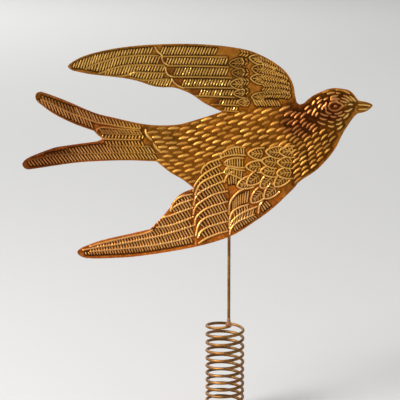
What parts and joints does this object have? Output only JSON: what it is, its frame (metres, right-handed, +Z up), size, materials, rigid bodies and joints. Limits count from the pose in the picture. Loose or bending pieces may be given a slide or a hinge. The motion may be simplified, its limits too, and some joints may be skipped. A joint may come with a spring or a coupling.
{
  "type": "whirligig",
  "caption": "Stamped brass swallow that turns on an upright wire rod, standing on an open wire coil that is pushed over a stem or stake.",
  "frame": {"origin": "on the coil's axis at the coil's lower end, where the stem goes in", "axes": "+Z up along the coil and the rod, +X towards the beak, -Y the way the embossed face looks"},
  "size_m": [0.3451, 0.0541, 0.385],
  "materials": {
    "sheet": "antiqued brass, embossed, dark in the recesses",
    "wire": "antiqued brass wire, satin",
    "tube": "drawn brass tube, satin",
    "braze": "flowed filler metal, slightly pink",
    "ball": "polished steel ball"
  },
  "bodies": {
    "socket": {"coil_socket": "wire"},
    "stem": {"rod": "wire", "foot_braze": "braze"},
    "bird": {"swallow_sheet": "sheet", "pivot_tube": "tube", "tube_seams": "braze", "tube_cap": "tube", "pivot_ball": "ball"}
  },
  "joints": [
    {"name": "coil_spring", "type": "slide", "parent": "socket", "child": "stem", "axis": [0, 0, -1], "range_m": [0, 0.025], "stiffness_N_per_m": 590, "springref_m": -0.0045, "deforming": ["coil_socket"]},
    {"name": "bird_turn", "type": "hinge", "parent": "stem", "child": "bird", "pos_m": [0.00353, -0.01816, 0.26], "axis": [0, 0, 1], "continuous": true}
  ]
}
